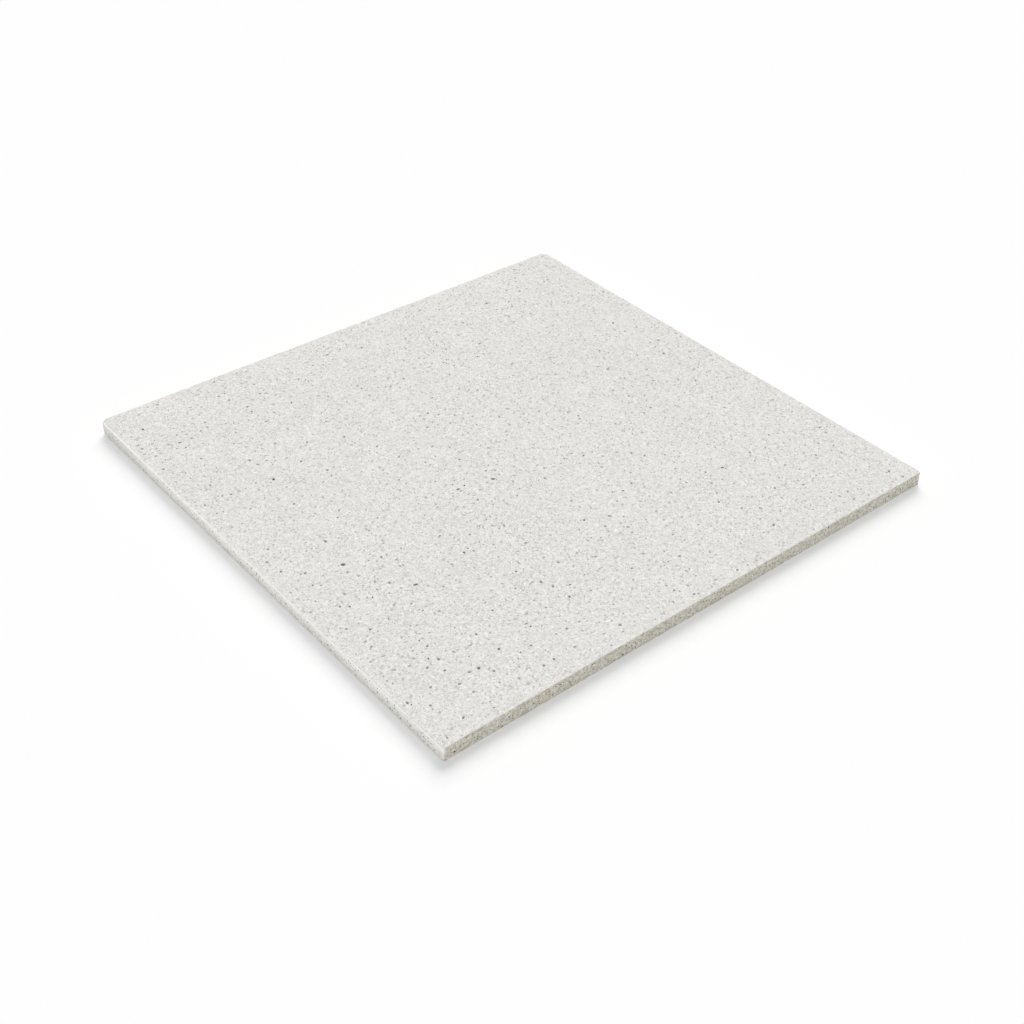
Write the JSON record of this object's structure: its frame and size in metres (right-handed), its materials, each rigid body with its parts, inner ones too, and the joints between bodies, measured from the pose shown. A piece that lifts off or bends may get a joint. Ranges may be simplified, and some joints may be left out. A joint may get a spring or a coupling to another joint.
{
  "type": "suspended ceiling tile",
  "caption": "Square lay-in ceiling tile of white mineral fibre board with a pinholed, sandy face, sawn porous edges and a plain back, made to rest on the flanges of a ceiling grid.",
  "frame": {"origin": "middle of the back, which lies on the floor", "axes": "+Z is the outward normal of the painted face, up as the tile lies on its back; +X and +Y run along the sides of the square"},
  "size_m": [0.595, 0.595, 0.015],
  "materials": {
    "mineral_fibre": "matt white paint on the face, raw sawn edges and back"
  },
  "bodies": {
    "root": {"ceiling_tile": "mineral_fibre"}
  },
  "joints": []
}
